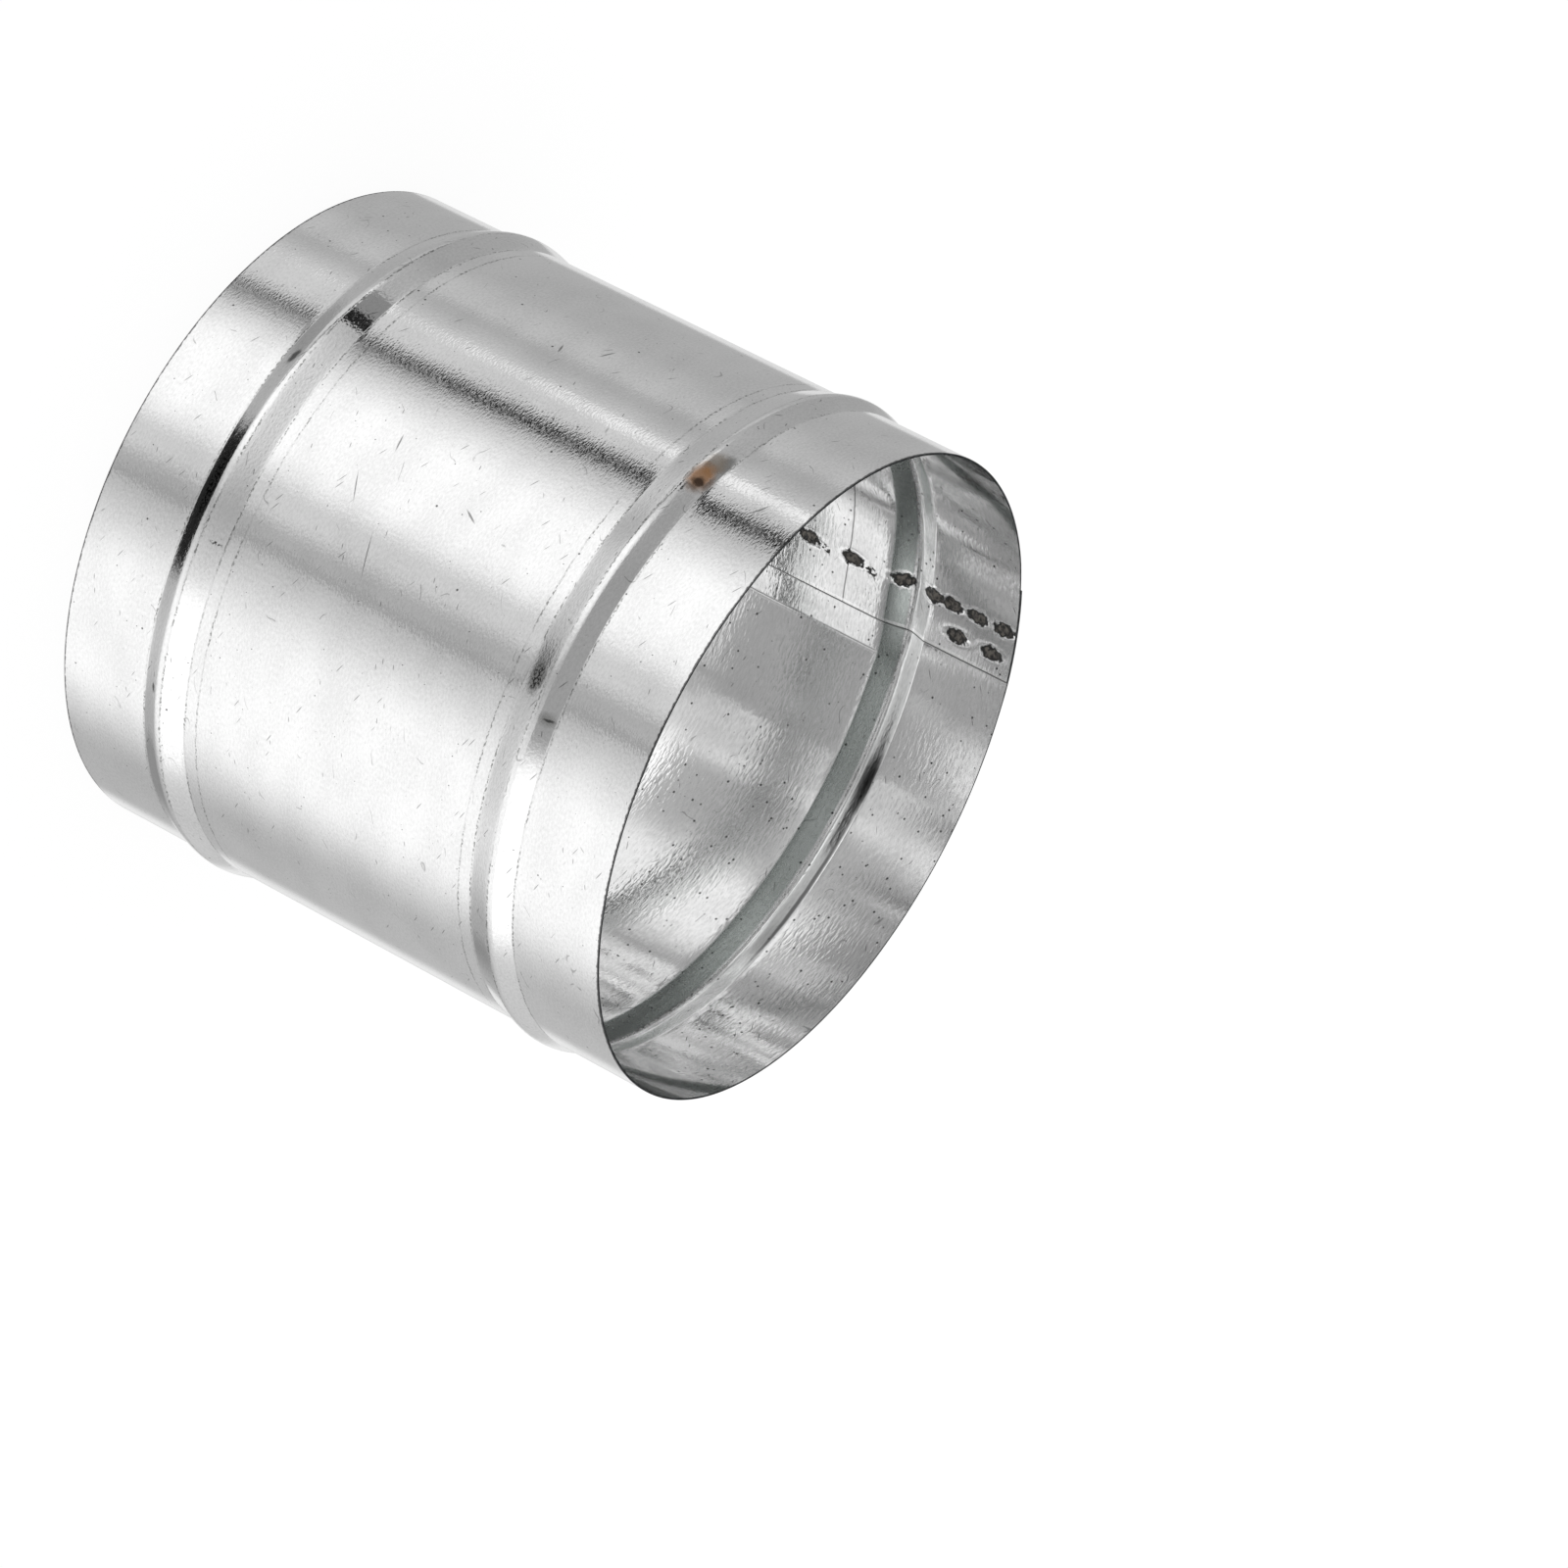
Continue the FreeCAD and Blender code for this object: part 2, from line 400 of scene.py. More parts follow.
def cloud(tree, place, size, detail=2.0, turn=0.0):
    """Noise of a given length round the tube and width along it, about 0.5 on average."""
    scaled = add_node(
        tree, "ShaderNodeMapping",
        {"vector_type": "TEXTURE", "Scale": (*size, 1), "Rotation": (0, 0, math.radians(turn))},
        {"Vector": place})
    return add_node(
        tree, "ShaderNodeTexNoise", {"Scale": 1.0, "Detail": detail},
        {"Vector": scaled.outputs[0]}).outputs[0]


def mask(tree, limits, others=()):
    """1 where every value has passed its high, 0 where one is short of its low, soft between."""
    parts = list(others)
    for value, low, high in limits:
        step = add_node(
            tree, "ShaderNodeMapRange",
            {"interpolation_type": "SMOOTHSTEP", "From Min": low, "From Max": high},
            {"Value": value})
        parts.append(step.outputs[0])
    product = parts[0]
    for part in parts[1:]:
        product = add_node(
            tree, "ShaderNodeMath", {"operation": "MULTIPLY"}, {0: product, 1: part}).outputs[0]
    return product


def strongest(tree, masks):
    """The strongest of several masks at each place, each counted by its share."""
    result = None
    for part, share in masks:
        if share < 1:
            part = add_node(
                tree, "ShaderNodeMath", {"operation": "MULTIPLY", 1: share}, {0: part}).outputs[0]
        if result is not None:
            part = add_node(
                tree, "ShaderNodeMath", {"operation": "MAXIMUM"}, {0: result, 1: part}).outputs[0]
        result = part
    return result


def laid_over(tree, colour, layers):
    """A colour with finishes laid over it in turn, each where its mask is and by its share."""
    for part, share, finish in layers:
        amount = add_node(tree, "ShaderNodeMath", {"operation": "MULTIPLY", 1: share}, {0: part})
        mixed = add_node(
            tree, "ShaderNodeMix", {"data_type": "RGBA", 7: linear(finish)},
            {0: amount.outputs[0], 6: colour})
        colour = mixed.outputs[2]
    return colour


def flecks(tree, place, spacing, length, width, turn, share):
    """Scattered strokes of a given length and width: one cell in spacing holds a stroke."""
    cell = (spacing, spacing * width / length, 1)
    scaled = add_node(
        tree, "ShaderNodeMapping",
        {"vector_type": "TEXTURE", "Scale": cell, "Rotation": (0, 0, math.radians(turn))},
        {"Vector": place})
    cells = add_node(
        tree, "ShaderNodeTexVoronoi", {"Scale": 1.0}, {"Vector": scaled.outputs[0]}).outputs
    size = length / spacing / 2
    return mask(tree, [
        (cells["Color"], 1 - share, 1.04 - share),
        (cells["Distance"], size * 1.2, size * 0.7)])


def hairlines(tree, place, spacing, width, share, turn):
    """Fine curved scratches: evenly spaced lines, bent by a slow noise and kept in patches."""
    turned = add_node(
        tree, "ShaderNodeMapping", {"Rotation": (0, 0, math.radians(turn))}, {"Vector": place})
    across = add_node(tree, "ShaderNodeSeparateXYZ", links={0: turned.outputs[0]}).outputs[1]
    bend = cloud(tree, place, HAIRLINE_BEND, 1.0)
    bent = add_node(
        tree, "ShaderNodeMath", {"operation": "MULTIPLY_ADD", 1: HAIRLINE_SWING},
        {0: bend, 2: across})
    folded = add_node(
        tree, "ShaderNodeMath", {"operation": "PINGPONG", 1: spacing}, {0: bent.outputs[0]})
    line = line_along(tree, folded.outputs[0], spacing / 2, width / 2)
    patch = cloud(tree, place, HAIRLINE_PATCH, 1.0, turn + 50)
    return mask(tree, [(patch, 1 - share, 1.06 - share)], [line])


def spot(tree, place, azimuth, depth, half_length, half_width, turn=0.0):
    """One soft-edged oval or stroke, at an azimuth and a depth below the top rim."""
    centre = (arc_length((azimuth - INNER_EDGE) % 360), LENGTH - depth, 0)
    moved = add_node(
        tree, "ShaderNodeMapping",
        {"vector_type": "TEXTURE", "Location": centre, "Scale": (half_length, half_width, 1),
         "Rotation": (0, 0, math.radians(turn))},
        {"Vector": place})
    reach = add_node(
        tree, "ShaderNodeVectorMath", {"operation": "LENGTH"}, {0: moved.outputs[0]})
    return mask(tree, [(reach.outputs["Value"], 1.4, 0.5)])


def spots(tree, place, marks):
    """Several spots as one mask."""
    return strongest(tree, [(spot(tree, place, *mark), 1.0) for mark in marks])


def line_along(tree, coordinate, position, half_width):
    """A thin line where a coordinate, in millimetres, is near a position."""
    away = add_node(
        tree, "ShaderNodeMath", {"operation": "SUBTRACT", 1: position}, {0: coordinate})
    distance = add_node(tree, "ShaderNodeMath", {"operation": "ABSOLUTE"}, {0: away.outputs[0]})
    return mask(tree, [(distance.outputs[0], half_width * 1.5, half_width * 0.6)])


def wavering(tree, place, reach, wave, noise_place=None, detail=2.0):
    """Places shifted to and fro by a noise, so that straight edges come out uneven."""
    scaled = add_node(
        tree, "ShaderNodeMapping", {"vector_type": "TEXTURE", "Scale": (wave, wave, 1)},
        {"Vector": noise_place or place})
    swing = add_node(
        tree, "ShaderNodeTexNoise", {"Scale": 1.0, "Detail": detail},
        {"Vector": scaled.outputs[0]})
    centred = add_node(
        tree, "ShaderNodeVectorMath", {"operation": "SUBTRACT", 1: (0.5, 0.5, 0.5)},
        {0: swing.outputs["Color"]})
    shifted = add_node(
        tree, "ShaderNodeVectorMath", {"operation": "MULTIPLY_ADD", 1: (reach, reach, 0)},
        {0: centred.outputs[0], 2: place})
    return shifted.outputs[0]


# Hot-dip galvanised steel sheet. The zinc is bright and nearly white, rolled smooth, so it mirrors
# the studio softly. Handling leaves fine dark specks, short strokes and curved hairlines.
ZINC = "#F4F4F4"
DULL_ZINC = "#E3E3E3"
SCRATCHED_ZINC = "#6C6C6C"
PRESSED_ZINC = "#777876"    # the lines that the edges of the beading rolls press in
DIRT_AND_SHADE_GREY = "#8C8C8A"     # zinc dulled by a film of dirt, and painted shade and dark reflections beside the beads
# Near-black: dirt, specks and weld splashes, and also painted shade and shadow
GRIME_AND_SHADE = "#1C1C1B"
RUST = "#9C6A35"
RUST_CORE = "#2C1D14"
TEMPERED = "#9A8E80"        # zinc that has been heated, a brownish grey
BURNT = "#171615"
WELD_ASH = "#8F8981"
# Pure white: bright zinc round the welds, and painted highlights
WHITE_ZINC_AND_HIGHLIGHT = "#FFFFFF"
GROOVE_SHADE = "#9DA8A3"     # painted shade in the grooves, a dull greenish grey

# Roughness of the zinc where it is brightest and where it is dullest, what a film or a stain adds
# to it, and the share of the metal's shine that a stain covers
SMOOTH = 0.045
DULLED = 0.125
FILM_ROUGHNESS = 0.22
STAIN_ROUGHNESS = 0.4
STAIN_COVER = 0.7

# Sizes of the patterns in millimetres, length round the tube and then width along it. The zinc's
# real grain is about 0.1 mm and its scratches 0.02 mm wide, too fine to show in the render, so the
# grain, the specks, the strokes and the hairlines are drawn as coarse as they need to be to show.
MOTTLE = (16.0, 9.0)
OUTSIDE_GRAIN = (0.72, 0.4)
INSIDE_GRAIN = (1.3, 0.5)
BRUSHING = (2.4, 0.75)
DIRT_SPECKLE = (0.55, 0.45)
# Flecks: spacing, length, width, turn, and share of the cells that hold one
DUST = (2.0, 0.52, 0.44, 20.0, 0.48)
# The same for flecks in several sizes, each with its strength
SPECKS = (
    ((4.1, 0.46, 0.46, 0.0, 0.42), 1.0),
    ((1.9, 0.27, 0.27, 30.0, 0.44), 0.9),
    ((1.05, 0.21, 0.21, -40.0, 0.36), 0.45),
)
STROKES = (
    ((6.2, 1.1, 0.2, 14.0, 0.37), 1.0),
    ((9.0, 2.0, 0.19, -28.0, 0.36), 1.0),
)
# Hairlines: spacing, width, share of the sheet that has them, and turn
HAIRLINES = (5.0, 0.2, 0.37, -30.0)
HAIRLINE_BEND = (9.0, 6.0)
HAIRLINE_SWING = 14.0
HAIRLINE_PATCH = (5.0, 3.5)

# Lines that the beading rolls leave round the outside, by distance from the nearer rim, and half
# the width of one and of the burr at the rim, as fine as the render shows
ROLL_LINES = (18.5, 23.2, 27.9, 30.5)
ROLL_LINE_WIDTH = 0.16
RIM_BURR_WIDTH = 0.24

# The shadow and dirt at the foot of the lap's outer edge: distance from that edge, half width
OUTER_GAP = (0.35, 0.28)

# Marks on the outside: azimuth, depth below the top rim, half length, half width, turn
DARK_MARKS = (
    (280.9, 20.1, 0.28, 1.1, 4.0),
    (247.6, 99.3, 1.7, 0.7, -12.0),
    (307.8, 98.9, 0.9, 0.34, 8.0),
)
# Speckled dark marks; the first is partly dirt and partly a painted dark reflection in the bead's
# flank
SPECKLED_MARKS = (
    (275.6, 25.4, 2.6, 1.35),
    (280.3, 94.0, 0.3, 1.1),
    (272.0, 99.3, 7.0, 1.0),
)
# Grey patches beside the beads: partly a film of dirt, partly painted shade and dark reflections
DIRT_AND_SHADE_MARKS = (
    (275.4, 25.5, 2.9, 1.6),
    (280.9, 20.4, 1.2, 1.5),
    (229.5, 19.6, 2.4, 1.1),
)
RUST_MARK = (234.2, 21.0, 3.3, 2.0)
RUST_EDGE_MARKS = ((236.9, 20.9, 0.6, 1.9), (234.6, 19.2, 2.6, 0.35), (235.4, 22.9, 2.2, 0.35))
RUST_CORE_MARK = (235.3, 20.6, 1.15, 1.05)
HEAT_MARKS = ((231.0, 20.9, 3.2, 1.7),)

# Single scratches on the outside: azimuth, depth, half length, half width, turn
SCRATCHES = (
    (271.0, 66.0, 3.6, 0.11, 14.0),
    (262.0, 74.5, 2.6, 0.12, 24.0),
    (252.5, 72.0, 1.6, 0.16, 10.0),
    (234.6, 8.6, 1.8, 0.14, -30.0),
    (233.9, 8.1, 1.2, 0.14, -20.0),
    (258.0, 52.0, 1.5, 0.2, 60.0),
    (222.0, 62.0, 1.2, 0.2, 15.0),
    (218.0, 55.0, 1.6, 0.18, -20.0),
)


def zinc_skin(tree, place, grain_size):
    """What both faces of the sheet share: its dullness, its grain, its colour and its wear."""
    mottle = cloud(tree, place, MOTTLE)
    grain = cloud(tree, place, grain_size, 1.0)
    shade = add_node(
        tree, "ShaderNodeMath", {"operation": "MULTIPLY_ADD", 1: 0.75}, {0: mottle, 2: grain})
    dullness = mask(tree, [(shade.outputs[0], 0.56, 1.25)])
    zinc = add_node(
        tree, "ShaderNodeMix", {"data_type": "RGBA", 6: linear(ZINC), 7: linear(DULL_ZINC)},
        {0: dullness})
    specks = [(flecks(tree, place, *pattern), strength) for pattern, strength in SPECKS]
    strokes = [(flecks(tree, place, *pattern), strength) for pattern, strength in STROKES]
    wear = [
        (hairlines(tree, place, *HAIRLINES), 0.45, SCRATCHED_ZINC),
        (strongest(tree, strokes), 0.65, SCRATCHED_ZINC),
        (strongest(tree, specks), 0.8, GRIME_AND_SHADE),
    ]
    return dullness, grain, zinc.outputs[2], wear


def finish_surface(tree, colour, dullness, stained, filmed, reliefs):
    """The shader of the sheet: metal, rougher under a film and less metallic where stained."""
    roughness = add_node(
        tree, "ShaderNodeMapRange", {"To Min": SMOOTH, "To Max": DULLED}, {"Value": dullness})
    film_roughness = add_node(
        tree, "ShaderNodeMath", {"operation": "MULTIPLY_ADD", 1: FILM_ROUGHNESS},
        {0: filmed, 2: roughness.outputs[0]})
    stain_roughness = add_node(
        tree, "ShaderNodeMath", {"operation": "MULTIPLY_ADD", 1: STAIN_ROUGHNESS},
        {0: stained, 2: film_roughness.outputs[0]})
    metal = add_node(
        tree, "ShaderNodeMath", {"operation": "MULTIPLY_ADD", 1: -STAIN_COVER, 2: 1.0},
        {0: stained})
    height = None
    for relief, depth in reliefs:
        layer = add_node(
            tree, "ShaderNodeMath", {"operation": "MULTIPLY_ADD", 1: depth, 2: 0.0}, {0: relief})
        if height is not None:
            tree.links.new(height, layer.inputs[2])
        height = layer.outputs[0]
    bump = add_node(tree, "ShaderNodeBump", {"Distance": MM}, {"Height": height})
    surface = add_node(
        tree, "ShaderNodeBsdfPrincipled", {},
        {"Base Color": colour, "Metallic": metal.outputs[0],
         "Roughness": stain_roughness.outputs[0], "Normal": bump.outputs[0]})
    add_node(tree, "ShaderNodeOutputMaterial", links={"Surface": surface.outputs[0]})


def galvanised_outside():
    """Bright zinc that mirrors the studio, with the beading rolls' lines pressed into it and
    brown, rusty and sooty marks beside the beads that break up the shine; the grey ones are partly
    painted shade and dark reflections."""
    material = new_material("galvanised_sheet_outside")
    tree = material.node_tree
    place = sheet_place(tree, "sheet")
    dullness, grain, zinc, wear = zinc_skin(tree, place, OUTSIDE_GRAIN)

    uneven = wavering(tree, place, 0.5, 0.7)
    height = add_node(tree, "ShaderNodeSeparateXYZ", links={0: uneven}).outputs[1]
    from_rim = add_node(
        tree, "ShaderNodeMath", {"operation": "PINGPONG", 1: LENGTH / 2}, {0: height}).outputs[0]
    pressed = strongest(tree, [
        (line_along(tree, from_rim, depth, ROLL_LINE_WIDTH), 1.0) for depth in ROLL_LINES])
    dashes = mask(tree, [
        (cloud(tree, place, (0.7, 0.5)), 0.45, 0.56),
        (cloud(tree, place, (8.0, 3.0)), 0.36, 0.58)], [pressed])

    across = add_node(tree, "ShaderNodeSeparateXYZ", links={0: place}).outputs[0]
    gap = line_along(tree, across, LAP_WIDTH + OUTER_GAP[0], OUTER_GAP[1])

    ragged = wavering(tree, place, 1.1, 0.9)
    speckle = mask(tree, [(cloud(tree, place, DIRT_SPECKLE), 0.44, 0.56)])
    dark = spots(tree, uneven, DARK_MARKS)
    dirt_and_shade = spots(tree, ragged, DIRT_AND_SHADE_MARKS)
    speckled = spots(tree, ragged, SPECKLED_MARKS)
    heat = spots(tree, ragged, HEAT_MARKS)
    rust = spot(tree, ragged, *RUST_MARK)
    rust_edge = mask(tree, [], [spots(tree, ragged, RUST_EDGE_MARKS), rust])
    core = spot(tree, ragged, *RUST_CORE_MARK)
    colour = laid_over(tree, zinc, wear + [
        (spots(tree, place, SCRATCHES), 0.8, SCRATCHED_ZINC),
        (pressed, 0.1, PRESSED_ZINC),
        (dashes, 0.8, PRESSED_ZINC),
        (dirt_and_shade, 0.75, DIRT_AND_SHADE_GREY),
        (heat, 0.75, TEMPERED),
        (rust, 0.85, RUST),
        (rust_edge, 0.75, RUST_CORE),
        (core, 0.9, RUST_CORE),
        (mask(tree, [], [speckled, speckle]), 0.9, GRIME_AND_SHADE),
        (dark, 0.85, GRIME_AND_SHADE),
        (gap, 0.75, GRIME_AND_SHADE),
        (line_along(tree, from_rim, 0.0, RIM_BURR_WIDTH), 1.0, SCRATCHED_ZINC),
    ])
    stained = strongest(tree, [(rust, 0.6), (heat, 0.2), (dark, 0.3), (gap, 0.6)])
    finish_surface(tree, colour, dullness, stained, dirt_and_shade, [(grain, 0.016)])
    return material


# Marks on the inside, each line with half its width
SCRIBE_DEPTH = 37.0         # of the line scribed across the lap, below the top rim
SCRIBE_LENGTH = 27.0        # from the sheet's inner edge
SCRIBE_WIDTH = 0.14
INNER_EDGE_SHADOW_WIDTH = 0.42      # of the painted shadow at the foot of the lap's inner edge
EDGE_HIGHLIGHT = (0.4, 0.25)      # a painted highlight beside that edge: distance from it, half width
CREST_DEPTHS = (23.25, 96.75)   # the bottoms of the two grooves, with a painted highlight in dashes along them
CREST_WIDTH = 0.26
# Flanks painted with the grooves' greenish shade: from and to, below the top rim, and how much
GROOVE_FLANKS = ((19.2, 22.4, 0.15), (23.9, 27.6, 0.8), (92.4, 96.1, 0.3), (97.6, 100.8, 0.2))
GROOVE_SHADE_FEATHER = 0.4
# Painted dark shade on the collar's flank of the near groove, placed as the outside's marks are
GROOVE_SHADE_MARKS = ((93.3, 19.7, 6.5, 0.95), (71.0, 19.5, 17.0, 0.5))
INSIDE_START = 913.0        # moves the shared patterns, so that the two faces differ

# What the heat of a weld left round it, in half sizes of the weld: where each mask is 0 and 1
BURN_EDGE = (1.2, 1.05)
PIT_EDGE = (0.75, 0.4)
ASH_EDGE = (0.95, 0.6)
HALO_OUTSIDE = (1.9, 1.4)
HALO_INSIDE = (1.15, 1.25)
# Splashes above each weld, in millimetres from its middle, below a least depth from the top rim
SPLASH_LOW = (1.4, 2.0)
SPLASH_HIGH = (6.6, 4.8)
SPLASH_LEAN = 0.38
SPLASH_LINE = (0.6, 0.8)    # distance aside, half width
SPLASH_DEPTH = (23.0, 24.0)


def galvanised_inside():
    """The same zinc, brushed round the tube so that its reflections drag out sideways, dull and with
    a painted greenish shade in the grooves, painted highlights along their bottoms and beside the
    lap's inner edge, and burnt black and pitted at the spot welds."""
    material = new_material("galvanised_sheet_inside")
    tree = material.node_tree
    place = sheet_place(tree, "sheet")
    other_place = sheet_place(tree, "sheet", (INSIDE_START, 0.0))
    dullness, grain, zinc, wear = zinc_skin(tree, other_place, INSIDE_GRAIN)
    brushed = cloud(tree, other_place, BRUSHING, 1.0)

    uneven = wavering(tree, place, 0.5, 6.0)
    height = add_node(tree, "ShaderNodeSeparateXYZ", links={0: uneven}).outputs[1]
    exact = add_node(tree, "ShaderNodeSeparateXYZ", links={0: place}).outputs
    scribe = mask(
        tree, [(exact[0], SCRIBE_LENGTH + 0.3, SCRIBE_LENGTH)],
        [line_along(tree, height, LENGTH - SCRIBE_DEPTH, SCRIBE_WIDTH)])
    # A painted shadow at the foot of the lap's inner edge
    gap = line_along(tree, exact[0], arc_length(360), INNER_EDGE_SHADOW_WIDTH)
    # A painted highlight along the lap's inner edge
    edge_highlight = line_along(tree, exact[0], *EDGE_HIGHLIGHT)
    # Painted greenish shade on the grooves' flanks, which also makes them rougher
    groove_shade = strongest(tree, [
        (mask(tree, [
            (exact[1], LENGTH - low - GROOVE_SHADE_FEATHER, LENGTH - low),
            (exact[1], LENGTH - high + GROOVE_SHADE_FEATHER, LENGTH - high)]), share)
        for high, low, share in GROOVE_FLANKS])

    # A painted highlight in broken dashes along the bottoms of the grooves
    crests = [
        (line_along(tree, height, LENGTH - depth, CREST_WIDTH), 1.0) for depth in CREST_DEPTHS]
    crest_highlight = mask(tree, [(cloud(tree, place, (0.9, 0.5)), 0.40, 0.50)], [strongest(tree, crests)])

    # Each weld's edge is broken up by a noise of its own, so no two are alike
    weld_place = wavering(tree, sheet_place(tree, "weld"), 2.6, 1.1, place, 4.0)
    oval = add_node(
        tree, "ShaderNodeVectorMath",
        {"operation": "DIVIDE", 1: (WELD_WIDTH / 2, WELD_LENGTH / 2, 1)}, {0: weld_place})
    reach = add_node(
        tree, "ShaderNodeVectorMath", {"operation": "LENGTH"}, {0: oval.outputs[0]})
    reach = reach.outputs["Value"]
    burn = mask(tree, [(reach, *BURN_EDGE)])
    pit = mask(tree, [(reach, *PIT_EDGE)])
    ash = mask(tree, [(reach, *ASH_EDGE), (cloud(tree, place, (0.9, 0.7)), 0.36, 0.62)])
    halo = mask(tree, [(reach, *HALO_OUTSIDE), (reach, *HALO_INSIDE)])

    weld_parts = add_node(tree, "ShaderNodeSeparateXYZ", links={0: weld_place}).outputs
    slanted = add_node(
        tree, "ShaderNodeMath", {"operation": "MULTIPLY_ADD", 1: SPLASH_LEAN},
        {0: weld_parts[1], 2: weld_parts[0]})
    splashes = mask(
        tree, [
            (weld_parts[1], *SPLASH_LOW),
            (weld_parts[1], *SPLASH_HIGH),
            (cloud(tree, place, (0.7, 0.9)), 0.47, 0.52),
            (exact[1], LENGTH - SPLASH_DEPTH[0], LENGTH - SPLASH_DEPTH[1])],
        [line_along(tree, slanted.outputs[0], *SPLASH_LINE)])

    dust = flecks(tree, place, *DUST)
    # Painted dark shade in the near groove
    groove_shade_marks = spots(tree, uneven, GROOVE_SHADE_MARKS)
    colour = laid_over(tree, zinc, [(groove_shade, 0.8, GROOVE_SHADE)] + wear + [
        (dust, 0.9, GRIME_AND_SHADE),
        (groove_shade_marks, 0.7, GRIME_AND_SHADE),
        (halo, 0.8, WHITE_ZINC_AND_HIGHLIGHT),
        (scribe, 0.8, SCRATCHED_ZINC),
        (edge_highlight, 0.7, WHITE_ZINC_AND_HIGHLIGHT),
        (crest_highlight, 0.9, WHITE_ZINC_AND_HIGHLIGHT),
        (gap, 0.9, GRIME_AND_SHADE),
        (splashes, 0.95, GRIME_AND_SHADE),
        (burn, 0.97, BURNT),
        (ash, 0.6, WELD_ASH),
    ])
    stained = strongest(tree, [(burn, 0.7), (splashes, 0.6), (gap, 1.0)])
    hazy = strongest(tree, [(groove_shade, 1.0), (crest_highlight, 1.0)])
    finish_surface(tree, colour, dullness, stained, hazy, [
        (grain, 0.010), (brushed, 0.011), (pit, 0.08)])
    return material


BURR_SIZE = 1.2
BARE_STEEL = "#1F2123"
BURR_STEEL = "#4C4F51"


def cut_edge():
    """The sheared edge of the sheet: bare steel, dull and dark beside the bright zinc, so that
    the rims and the edge inside the lap are drawn by a thin dark line."""
    material = new_material("sheared_sheet_edge")
    tree = material.node_tree
    place = add_node(tree, "ShaderNodeTexCoord").outputs["Object"]
    scaled = add_node(
        tree, "ShaderNodeMapping",
        {"vector_type": "TEXTURE", "Scale": (BURR_SIZE * MM, BURR_SIZE * MM, BURR_SIZE * MM)},
        {"Vector": place})
    burrs = add_node(
        tree, "ShaderNodeTexNoise", {"Scale": 1.0, "Detail": 2.0}, {"Vector": scaled.outputs[0]})
    colour = add_node(
        tree, "ShaderNodeMix",
        {"data_type": "RGBA", 6: linear(BARE_STEEL), 7: linear(BURR_STEEL)},
        {0: mask(tree, [(burrs.outputs[0], 0.4, 0.65)])})
    bump = add_node(
        tree, "ShaderNodeBump", {"Distance": 0.05 * MM}, {"Height": burrs.outputs[0]})
    surface = add_node(
        tree, "ShaderNodeBsdfPrincipled", {"Metallic": 1.0, "Roughness": 0.5},
        {"Base Color": colour.outputs[2], "Normal": bump.outputs[0]})
    add_node(tree, "ShaderNodeOutputMaterial", links={"Surface": surface.outputs[0]})
    return material


sleeve = build_sleeve()
sleeve.data.materials.append(galvanised_outside())
sleeve.data.materials.append(galvanised_inside())
sleeve.data.materials.append(cut_edge())
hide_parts("coupling_sleeve")
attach(sleeve, "root")


# The studio: soft white panels and grey gaps all round, which the metal mirrors.
# A panel is centre azimuth, half width, feather, lowest, highest, feather, level, lean.
# Its azimuths are counted from the camera's side, clockwise seen from above. Its lean is how far
# its centre moves in azimuth for each degree that it rises above LEAN_START. A later panel lies
# over the earlier ones.
OPEN_LEVEL = 0.455
LEAN_START = -27.0
PANELS = (
    # Wide panels on both sides, which give the wall its broad bright bands
    (-140, 20, 20, -14, 30, 24, 0.64, 0.0),
    (-66, 16, 42, -38, 40, 34, 1.12, 0.0),
    (-68, 20, 18, -7, 30, 5, 1.3, 0.0),
    (28, 9, 29, -38, -18, 34, 1.14, 0.0),
    # Grey gaps above and beside them, seen in the beads' flanks
    (35, 60, 12, 10, 60, 8, 0.37, 0.0),
    (126, 24, 12, -16, 12, 6, 0.40, 0.0),
    # Strips behind the tube, seen near its outline
    (-166, 3, 13, -31.5, 20, 2, 0.86, 0.0),
    (175, 14, 3.5, -31.5, -24, 3, 0.76, 0.0),
    # A dark patch low behind it, seen in the beads' lower flanks
    (-149, 14, 8, -70, -39, 6, 0.30, 0.0),
    # Pale and grey strips and a thin bright one, seen between the dark streak and the outline
    (98.5, 4, 20, -50, -22, 6, 0.56, 0.8),
    (85, 11.5, 1.2, -50, -22, 6, 0.455, 0.8),
    (73, 3, 17, -50, -12, 8, 0.68, 0.0),
    (78.5, 1.5, 1.8, -28.0, -12, 1.2, 1.0, 0.0),
    (94, 14, 10, -80, -58.5, 3, 0.33, 0.0),
    # The dark streak down the wall: its soft shadow and its core
    (65.0, 1.3, 5.0, -50, -22, 3, 0.33, 1.0),
    (65.1, 1.9, 1.0, -29.3, -20, 2.2, 0.0, 1.0),
    # The grey band along the middle of the wall, and the thin dark line beside it
    (-0.5, 0.5, 9, -38, -20, 6, 0.70, 0.0),
    (-16, 0.5, 1.8, -38, -20, 6, 0.37, -0.5),
    # Dark blocks level with the tube, seen in the beads' upper flanks
    (70.5, 4.4, 1, -8, 10, 2, 0.26, 0.0),
    (63.4, 2.2, 1, -12, 0.5, 2.5, 0.015, 0.0),
    # Black patches underneath, seen in the beads' lower flanks
    (-12, 4, 12, -90, -62.5, 5, 0.10, 0.0),
    (-15, 40, 15, -90, -67.5, 4, 0.02, 0.0),
)
PLAIN_LEVEL = 0.9
MIRROR_BOUNCES = 10         # the inside mirrors itself many times over at a low angle


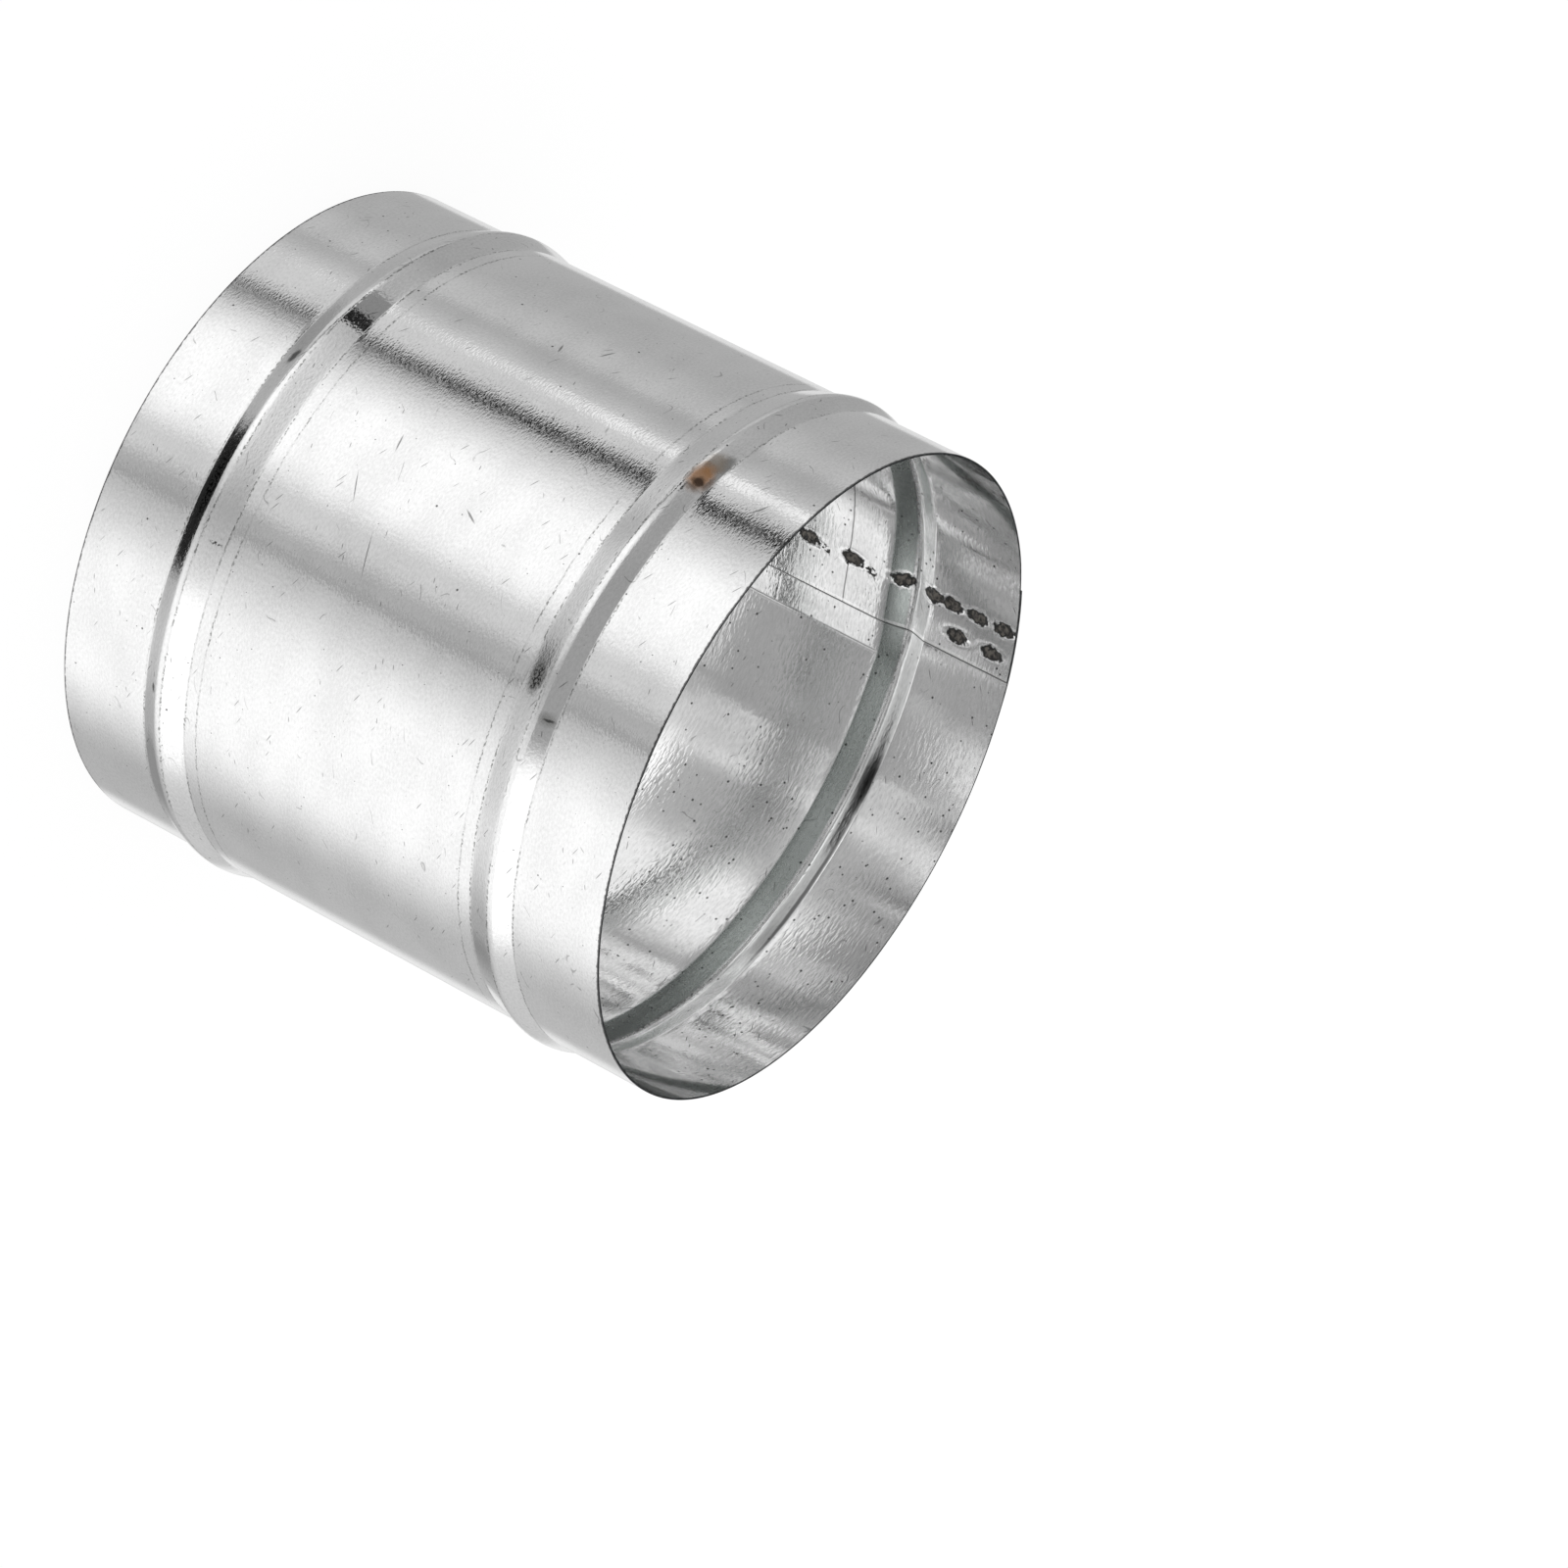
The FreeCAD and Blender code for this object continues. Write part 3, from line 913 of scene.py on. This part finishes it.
def soft_band(tree, value, centre, half_width, feather):
    """1 within half_width of the centre, falling to 0 over the feather."""
    away = add_node(tree, "ShaderNodeMath", {"operation": "SUBTRACT", 1: centre}, {0: value})
    wrapped = add_node(
        tree, "ShaderNodeMath", {"operation": "WRAP", 1: 180.0, 2: -180.0}, {0: away.outputs[0]})
    distance = add_node(tree, "ShaderNodeMath", {"operation": "ABSOLUTE"}, {0: wrapped.outputs[0]})
    return add_node(
        tree, "ShaderNodeMapRange",
        {"interpolation_type": "SMOOTHSTEP", "From Min": half_width + feather,
         "From Max": half_width},
        {"Value": distance.outputs[0]}).outputs[0]


def studio_world():
    """White to the camera, plain light on the floor, and the studio's panels to the metal."""
    world = bpy.data.worlds.new("studio")
    world.use_nodes = True
    tree = world.node_tree
    tree.nodes.clear()
    look = add_node(tree, "ShaderNodeTexCoord").outputs["Generated"]
    parts = add_node(tree, "ShaderNodeSeparateXYZ", links={0: look}).outputs
    left = add_node(tree, "ShaderNodeMath", {"operation": "MULTIPLY", 1: -1.0}, {0: parts[0]})
    front = add_node(tree, "ShaderNodeMath", {"operation": "MULTIPLY", 1: -1.0}, {0: parts[1]})
    turn = add_node(
        tree, "ShaderNodeMath", {"operation": "ARCTAN2"}, {0: left.outputs[0], 1: front.outputs[0]})
    azimuth = add_node(tree, "ShaderNodeMath", {"operation": "DEGREES"}, {0: turn.outputs[0]})
    rise = add_node(tree, "ShaderNodeMath", {"operation": "ARCSINE"}, {0: parts[2]})
    elevation = add_node(tree, "ShaderNodeMath", {"operation": "DEGREES"}, {0: rise.outputs[0]})
    level = None
    for panel in PANELS:
        centre, half_width, feather, lowest, highest, rise_feather, panel_level, lean = panel
        leaned = add_node(
            tree, "ShaderNodeMath", {"operation": "MULTIPLY_ADD", 1: -lean},
            {0: elevation.outputs[0], 2: azimuth.outputs[0]})
        across = soft_band(
            tree, leaned.outputs[0], centre - lean * LEAN_START, half_width, feather)
        up = soft_band(
            tree, elevation.outputs[0], (lowest + highest) / 2, (highest - lowest) / 2, rise_feather)
        amount = add_node(tree, "ShaderNodeMath", {"operation": "MULTIPLY"}, {0: across, 1: up})
        mixed = add_node(
            tree, "ShaderNodeMix", {2: OPEN_LEVEL, 3: panel_level}, {0: amount.outputs[0]})
        if level is not None:
            tree.links.new(level, mixed.inputs[2])
        level = mixed.outputs[0]
    rays = add_node(tree, "ShaderNodeLightPath").outputs
    lit = add_node(
        tree, "ShaderNodeMix", {2: PLAIN_LEVEL}, {0: rays["Is Glossy Ray"], 3: level})
    seen = add_node(
        tree, "ShaderNodeMix", {3: 1.0}, {0: rays["Is Camera Ray"], 2: lit.outputs[0]})
    background = add_node(
        tree, "ShaderNodeBackground", {"Color": (1, 1, 1, 1)}, {"Strength": seen.outputs[0]})
    add_node(tree, "ShaderNodeOutputWorld", links={"Surface": background.outputs[0]})
    bpy.context.scene.world = world


FLOOR_SIZE = 6.0            # metres
FLOOR_WHITE = 1.02          # just past white, so that the lit floor leaves no grain
SHADOW_SHARE = 0.16         # how much of the floor's white the shadow can take away


def studio_floor():
    """A pale floor, white to the camera, which keeps a faint shadow of the sleeve."""
    bm = bmesh.new()
    bmesh.ops.create_grid(bm, x_segments=1, y_segments=1, size=FLOOR_SIZE / 2)
    mesh = bpy.data.meshes.new("studio_floor")
    bm.to_mesh(mesh)
    bm.free()
    floor = bpy.data.objects.new("studio_floor", mesh)
    bpy.context.scene.collection.objects.link(floor)
    floor.visible_glossy = False
    material = new_material("white_floor")
    tree = material.node_tree
    matt = add_node(
        tree, "ShaderNodeBsdfDiffuse", {"Color": (SHADOW_SHARE, SHADOW_SHARE, SHADOW_SHARE, 1)})
    glow = add_node(
        tree, "ShaderNodeEmission", {"Strength": FLOOR_WHITE - SHADOW_SHARE * PLAIN_LEVEL})
    both = add_node(tree, "ShaderNodeAddShader", links={0: matt.outputs[0], 1: glow.outputs[0]})
    add_node(tree, "ShaderNodeOutputMaterial", links={"Surface": both.outputs[0]})
    mesh.materials.append(material)


# The photograph's viewpoint, in metres, fitted to the outlines of the two rims
CAMERA_PLACE = (0.0, -1.17997, 0.68155)
CAMERA_AIM = (0.00327, 0.0, 0.11494)
CAMERA_ROLL = 117.319
LENS = 170.48               # millimetres, over a sensor 36 mm wide
SENSOR_WIDTH = 36.0
NEAREST_SEEN = 0.05         # metres


def add_camera():
    """A long lens above the open mouth, rolled well over to one side."""
    data = bpy.data.cameras.new("camera")
    camera = bpy.data.objects.new("camera", data)
    bpy.context.scene.collection.objects.link(camera)
    data.sensor_width = SENSOR_WIDTH
    data.lens = LENS
    data.clip_start = NEAREST_SEEN
    place = Vector(CAMERA_PLACE)
    level = (Vector(CAMERA_AIM) - place).to_track_quat("-Z", "Y").to_matrix()
    turned = level @ Matrix.Rotation(math.radians(CAMERA_ROLL), 3, "Z")
    camera.matrix_world = Matrix.Translation(place) @ turned.to_4x4()
    bpy.context.scene.camera = camera


studio_world()
studio_floor()
add_camera()
bpy.context.scene.view_settings.view_transform = "Standard"
bpy.context.scene.cycles.glossy_bounces = MIRROR_BOUNCES
